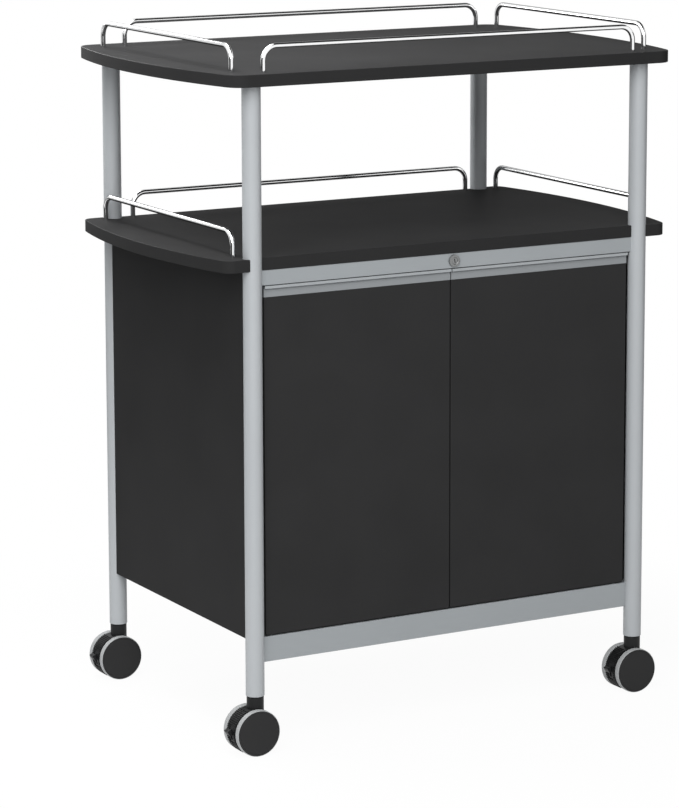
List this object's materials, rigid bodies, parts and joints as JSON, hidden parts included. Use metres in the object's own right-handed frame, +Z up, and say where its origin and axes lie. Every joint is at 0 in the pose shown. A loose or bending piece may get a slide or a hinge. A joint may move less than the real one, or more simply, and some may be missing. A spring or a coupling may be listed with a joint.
{
  "type": "beverage cart",
  "caption": "Beverage cart with two bowed shelves, wire guard rails and round posts over a locking cabinet with double doors, rolling on twin-wheel casters with brakes.",
  "frame": {"origin": "on the floor under the centre of the cart's outline", "axes": "+Z up, the doors face -Y, +X to the right of someone who faces the doors"},
  "size_m": [0.8508, 0.5524, 1.0922],
  "materials": {
    "board_black": "smooth black laminate, satin",
    "panel_black": "black laminate, satin",
    "door_black": "black laminate, satin",
    "post_aluminium": "satin anodised",
    "rail_aluminium": "satin anodised",
    "guard_chrome": "polished chrome wire",
    "fixing_steel": "zinc plated",
    "insert_plastic": "moulded black",
    "lock_metal": "satin nickel plate",
    "caster_black": "moulded black nylon",
    "brake_black": "moulded black nylon",
    "hub_black": "moulded black nylon, satin",
    "tyre_grey": "light grey soft tread"
  },
  "bodies": {
    "cart": {"top_shelf": "board_black", "middle_shelf": "board_black", "floor_panel": "panel_black", "inner_shelf": "panel_black", "left_side_panel": "panel_black", "right_side_panel": "panel_black", "back_panel": "panel_black", "front_left_post": "post_aluminium", "front_right_post": "post_aluminium", "back_left_post": "post_aluminium", "back_right_post": "post_aluminium", "front_top_rail": "rail_aluminium", "front_bottom_rail": "rail_aluminium", "top_front_guard": "guard_chrome", "top_back_guard": "guard_chrome", "top_left_guard": "guard_chrome", "top_right_guard": "guard_chrome", "middle_back_guard": "guard_chrome", "middle_left_guard": "guard_chrome", "middle_right_guard": "guard_chrome", "guard_screws": "fixing_steel", "post_inserts": "insert_plastic", "dowels": "fixing_steel", "shelf_pins": "fixing_steel", "door_pivot_pins": "fixing_steel", "lock_barrel": "lock_metal"},
    "lock": {"lock_plug": "lock_metal", "lock_cam": "lock_metal"},
    "left_door": {"left_door_panel": "door_black", "left_door_pull": "rail_aluminium"},
    "right_door": {"right_door_panel": "door_black", "right_door_pull": "rail_aluminium"},
    "front_left_caster": {"front_left_caster_hood": "caster_black", "front_left_caster_pins": "fixing_steel"},
    "front_left_outer_wheel": {"front_left_outer_hub": "hub_black", "front_left_outer_tyre": "tyre_grey"},
    "front_left_inner_wheel": {"front_left_inner_hub": "hub_black", "front_left_inner_tyre": "tyre_grey"},
    "front_left_brake": {"front_left_brake_lever": "brake_black"},
    "front_right_caster": {"front_right_caster_hood": "caster_black", "front_right_caster_pins": "fixing_steel"},
    "front_right_outer_wheel": {"front_right_outer_hub": "hub_black", "front_right_outer_tyre": "tyre_grey"},
    "front_right_inner_wheel": {"front_right_inner_hub": "hub_black", "front_right_inner_tyre": "tyre_grey"},
    "front_right_brake": {"front_right_brake_lever": "brake_black"},
    "back_left_caster": {"back_left_caster_hood": "caster_black", "back_left_caster_pins": "fixing_steel"},
    "back_left_outer_wheel": {"back_left_outer_hub": "hub_black", "back_left_outer_tyre": "tyre_grey"},
    "back_left_inner_wheel": {"back_left_inner_hub": "hub_black", "back_left_inner_tyre": "tyre_grey"},
    "back_left_brake": {"back_left_brake_lever": "brake_black"},
    "back_right_caster": {"back_right_caster_hood": "caster_black", "back_right_caster_pins": "fixing_steel"},
    "back_right_outer_wheel": {"back_right_outer_hub": "hub_black", "back_right_outer_tyre": "tyre_grey"},
    "back_right_inner_wheel": {"back_right_inner_hub": "hub_black", "back_right_inner_tyre": "tyre_grey"},
    "back_right_brake": {"back_right_brake_lever": "brake_black"}
  },
  "joints": [
    {"name": "left_door_hinge", "type": "hinge", "parent": "cart", "child": "left_door", "pos_m": [-0.31515, -0.23503, 0.4525], "axis": [0, 0, -1], "range_deg": [0, 105]},
    {"name": "right_door_hinge", "type": "hinge", "parent": "cart", "child": "right_door", "pos_m": [0.31515, -0.23503, 0.4525], "axis": [0, 0, 1], "range_deg": [0, 105]},
    {"name": "lock_turn", "type": "hinge", "parent": "cart", "child": "lock", "pos_m": [0.003, -0.222, 0.73825], "axis": [0, 1, 0], "range_deg": [0, 90]},
    {"name": "front_left_swivel", "type": "hinge", "parent": "cart", "child": "front_left_caster", "pos_m": [-0.34765, -0.24402, 0.0903], "axis": [0, 0, 1], "continuous": true},
    {"name": "front_left_outer_roll", "type": "hinge", "parent": "front_left_caster", "child": "front_left_outer_wheel", "pos_m": [-0.35405, -0.25853, 0.0362], "axis": [0, 1, 0], "continuous": true},
    {"name": "front_left_inner_roll", "type": "hinge", "parent": "front_left_caster", "child": "front_left_inner_wheel", "pos_m": [-0.35405, -0.22953, 0.0362], "axis": [0, 1, 0], "continuous": true},
    {"name": "front_left_brake_press", "type": "hinge", "parent": "front_left_caster", "child": "front_left_brake", "pos_m": [-0.37005, -0.24402, 0.0362], "axis": [0, -1, 0], "range_deg": [0, 15]},
    {"name": "front_right_swivel", "type": "hinge", "parent": "cart", "child": "front_right_caster", "pos_m": [0.34765, -0.24402, 0.0903], "axis": [0, 0, 1], "continuous": true},
    {"name": "front_right_outer_roll", "type": "hinge", "parent": "front_right_caster", "child": "front_right_outer_wheel", "pos_m": [0.34125, -0.25853, 0.0362], "axis": [0, 1, 0], "continuous": true},
    {"name": "front_right_inner_roll", "type": "hinge", "parent": "front_right_caster", "child": "front_right_inner_wheel", "pos_m": [0.34125, -0.22953, 0.0362], "axis": [0, 1, 0], "continuous": true},
    {"name": "front_right_brake_press", "type": "hinge", "parent": "front_right_caster", "child": "front_right_brake", "pos_m": [0.32525, -0.24402, 0.0362], "axis": [0, -1, 0], "range_deg": [0, 15]},
    {"name": "back_left_swivel", "type": "hinge", "parent": "cart", "child": "back_left_caster", "pos_m": [-0.34765, 0.24402, 0.0903], "axis": [0, 0, 1], "continuous": true},
    {"name": "back_left_outer_roll", "type": "hinge", "parent": "back_left_caster", "child": "back_left_outer_wheel", "pos_m": [-0.35405, 0.25853, 0.0362], "axis": [0, 1, 0], "continuous": true},
    {"name": "back_left_inner_roll", "type": "hinge", "parent": "back_left_caster", "child": "back_left_inner_wheel", "pos_m": [-0.35405, 0.22953, 0.0362], "axis": [0, 1, 0], "continuous": true},
    {"name": "back_left_brake_press", "type": "hinge", "parent": "back_left_caster", "child": "back_left_brake", "pos_m": [-0.37005, 0.24402, 0.0362], "axis": [0, -1, 0], "range_deg": [0, 15]},
    {"name": "back_right_swivel", "type": "hinge", "parent": "cart", "child": "back_right_caster", "pos_m": [0.34765, 0.24402, 0.0903], "axis": [0, 0, 1], "continuous": true},
    {"name": "back_right_outer_roll", "type": "hinge", "parent": "back_right_caster", "child": "back_right_outer_wheel", "pos_m": [0.34125, 0.25853, 0.0362], "axis": [0, 1, 0], "continuous": true},
    {"name": "back_right_inner_roll", "type": "hinge", "parent": "back_right_caster", "child": "back_right_inner_wheel", "pos_m": [0.34125, 0.22953, 0.0362], "axis": [0, 1, 0], "continuous": true},
    {"name": "back_right_brake_press", "type": "hinge", "parent": "back_right_caster", "child": "back_right_brake", "pos_m": [0.32525, 0.24402, 0.0362], "axis": [0, -1, 0], "range_deg": [0, 15]}
  ]
}
